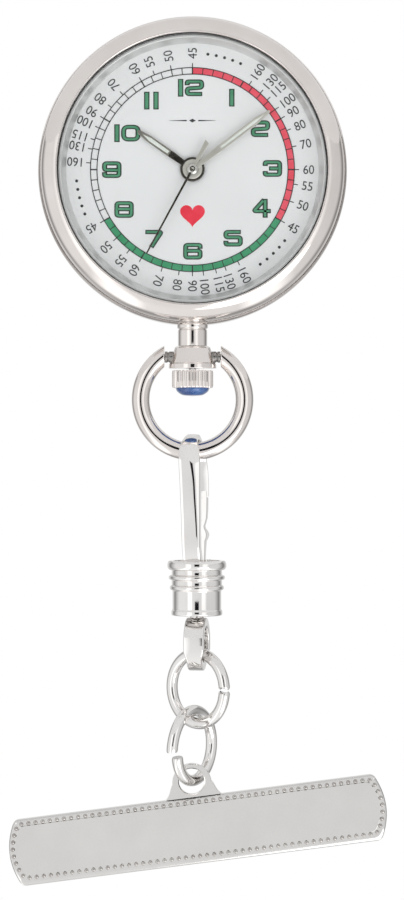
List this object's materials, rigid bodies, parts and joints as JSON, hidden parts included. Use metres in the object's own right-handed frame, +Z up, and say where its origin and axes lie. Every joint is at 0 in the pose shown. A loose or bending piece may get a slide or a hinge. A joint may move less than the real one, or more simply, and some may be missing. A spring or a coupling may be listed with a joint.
{
  "type": "fob watch",
  "caption": "Quartz fob watch with round case, coloured scale dial, bow ring, swivel hook, two jump rings and a bar brooch with a pin.",
  "frame": {"origin": "middle of the back face of the brooch's pin base, where the brooch lies against the cloth", "axes": "+Z up along the hanging chain, +Y out of the brooch's back into the cloth, the dial faces -Y and its twelve points down, +X to the right seen from the front"},
  "size_m": [0.0404, 0.009, 0.0928],
  "materials": {
    "nickel": "polished nickel plating, pale and slightly warm",
    "steel": "satin steel",
    "hand_steel": "polished hands with a pale luminous slot",
    "rehaut_metal": "polished inner flange ring",
    "brass": "fine machined brass",
    "copper": "enamelled copper winding",
    "glass": "clear flat crystal",
    "dial_white": "pale white lacquered dial with printed scales",
    "black_rubber": "matt black seal",
    "blue_cabochon": "polished deep blue dome",
    "grey_plastic": "moulded spacer ring",
    "circuit_green": "circuit board"
  },
  "bodies": {
    "brooch": {"brooch_plate": "nickel", "pin_base": "nickel", "pin_hinge_bracket": "nickel", "pin_hinge_rivet": "steel", "catch_housing": "nickel"},
    "pin": {"pin_stem": "steel"},
    "safety_roller": {"catch_roller": "nickel"},
    "lower_ring": {"jump_ring_lower": "nickel"},
    "upper_ring": {"jump_ring_upper": "nickel"},
    "eye": {"swivel_eye": "nickel"},
    "clasp": {"swivel_collar": "nickel", "hook_body": "nickel", "gate_pin": "steel", "gate_spring": "steel"},
    "gate": {"hook_gate": "nickel"},
    "bow": {"bow": "nickel"},
    "head": {"case_body": "nickel", "bezel": "nickel", "case_back": "nickel", "back_gasket": "black_rubber", "crystal": "glass", "crystal_gasket": "black_rubber", "rehaut_ring": "rehaut_metal", "dial": "dial_white", "pendant_tube": "nickel", "pendant_collar": "nickel", "bow_pivot_left": "steel", "bow_pivot_right": "steel", "movement_ring": "grey_plastic", "main_plate": "brass", "train_bridge": "steel", "bridge_screw_1": "steel", "bridge_screw_2": "steel", "bridge_screw_3": "steel", "battery": "steel", "battery_clamp": "steel", "stator": "steel", "coil_core": "steel", "coil": "copper", "circuit_board": "circuit_green", "crystal_can": "steel"},
    "stem": {"stem": "steel"},
    "crown": {"crown": "nickel", "crown_cabochon": "blue_cabochon"},
    "lever": {"setting_lever": "steel"},
    "seconds": {"second_wheel": "brass", "second_hand": "hand_steel"},
    "third": {"third_wheel": "brass"},
    "minutes": {"centre_wheel": "brass", "minute_hand": "hand_steel"},
    "minute_work": {"minute_wheel": "brass"},
    "hours": {"hour_wheel": "brass", "hour_hand": "hand_steel"},
    "intermediate": {"intermediate_wheel": "brass"},
    "rotor": {"rotor": "steel"}
  },
  "joints": [
    {"name": "pin_opens", "type": "hinge", "parent": "brooch", "child": "pin", "pos_m": [-0.01339, 0.00175, -0.00172], "axis": [-0.1271, 0, 0.9919], "range_deg": [0, 70]},
    {"name": "safety_roller_turns", "type": "hinge", "parent": "brooch", "child": "safety_roller", "pos_m": [0.01339, 0.00175, 0.00172], "axis": [0.9919, 0, 0.1271], "range_deg": [0, 90]},
    {"name": "lower_ring_swings", "type": "hinge", "parent": "brooch", "child": "lower_ring", "pos_m": [0.00088, -0.0011, -0.00683], "axis": [1, 0, 0], "range_deg": [-35, 17]},
    {"name": "upper_ring_swings", "type": "hinge", "parent": "lower_ring", "child": "upper_ring", "pos_m": [0.00052, -0.0011, -0.01276], "axis": [0.5299, -0.848, 0], "range_deg": [-35, 35]},
    {"name": "eye_swings", "type": "hinge", "parent": "upper_ring", "child": "eye", "pos_m": [0, -0.0011, -0.01892], "axis": [0.7431, 0.6691, 0], "range_deg": [-35, 11]},
    {"name": "clasp_swivels", "type": "hinge", "parent": "eye", "child": "clasp", "pos_m": [0.00012, -0.0011, -0.0229], "axis": [0, 0, 1], "continuous": true},
    {"name": "gate_opens", "type": "hinge", "parent": "clasp", "child": "gate", "pos_m": [-0.00028, 0.00076, -0.0276], "axis": [-0.9781, -0.2079, 0], "range_deg": [0, 18], "stiffness_Nm_per_rad": 0.02, "springref_deg": -28.65},
    {"name": "bow_swings", "type": "hinge", "parent": "clasp", "child": "bow", "pos_m": [0.00058, -0.0011, -0.04049], "axis": [1, 0, 0], "range_deg": [-50, 50]},
    {"name": "head_swings", "type": "hinge", "parent": "bow", "child": "head", "pos_m": [0.00058, -0.0011, -0.0506], "axis": [-1, 0, 0], "range_deg": [-80, 80]},
    {"name": "crown_pulls", "type": "slide", "parent": "head", "child": "stem", "axis": [0, 0, 1], "range_m": [0, 0.001]},
    {"name": "crown_turns", "type": "hinge", "parent": "stem", "child": "crown", "pos_m": [0.00058, -0.0011, -0.0484], "axis": [0, 0, 1], "continuous": true},
    {"name": "setting_lever_turns", "type": "hinge", "parent": "head", "child": "lever", "pos_m": [0.00278, -0.0012, -0.0622], "axis": [0, 1, 0], "range_deg": [0, 27]},
    {"name": "second_hand_turns", "type": "hinge", "parent": "head", "child": "seconds", "pos_m": [0.00058, -0.0006, -0.0704], "axis": [0, 1, 0], "continuous": true},
    {"name": "third_wheel_turns", "type": "hinge", "parent": "head", "child": "third", "pos_m": [-0.00176, -0.0008, -0.06843], "axis": [0, 1, 0], "continuous": true},
    {"name": "minute_hand_turns", "type": "hinge", "parent": "head", "child": "minutes", "pos_m": [0.00058, -0.0021, -0.0704], "axis": [0, 1, 0], "continuous": true},
    {"name": "minute_wheel_turns", "type": "hinge", "parent": "head", "child": "minute_work", "pos_m": [-0.00024, -0.0026, -0.06814], "axis": [0, 1, 0], "continuous": true},
    {"name": "hour_hand_turns", "type": "hinge", "parent": "head", "child": "hours", "pos_m": [0.00058, -0.0031, -0.0704], "axis": [0, 1, 0], "continuous": true},
    {"name": "intermediate_wheel_turns", "type": "hinge", "parent": "head", "child": "intermediate", "pos_m": [0.00346, -0.0001, -0.06935], "axis": [0, 1, 0], "continuous": true},
    {"name": "rotor_turns", "type": "hinge", "parent": "head", "child": "rotor", "pos_m": [0.00527, -0.0006, -0.0704], "axis": [0, 1, 0], "continuous": true}
  ],
  "couplings": [
    {"joint": "third_wheel_turns", "follows": "second_hand_turns", "ratio": -0.13333},
    {"joint": "minute_hand_turns", "follows": "second_hand_turns", "ratio": 0.016667},
    {"joint": "minute_wheel_turns", "follows": "second_hand_turns", "ratio": -0.0055556},
    {"joint": "hour_hand_turns", "follows": "second_hand_turns", "ratio": 0.0013889},
    {"joint": "intermediate_wheel_turns", "follows": "second_hand_turns", "ratio": -5},
    {"joint": "rotor_turns", "follows": "second_hand_turns", "ratio": 30},
    {"joint": "setting_lever_turns", "follows": "crown_pulls", "rad_per_m": 454.55}
  ]
}
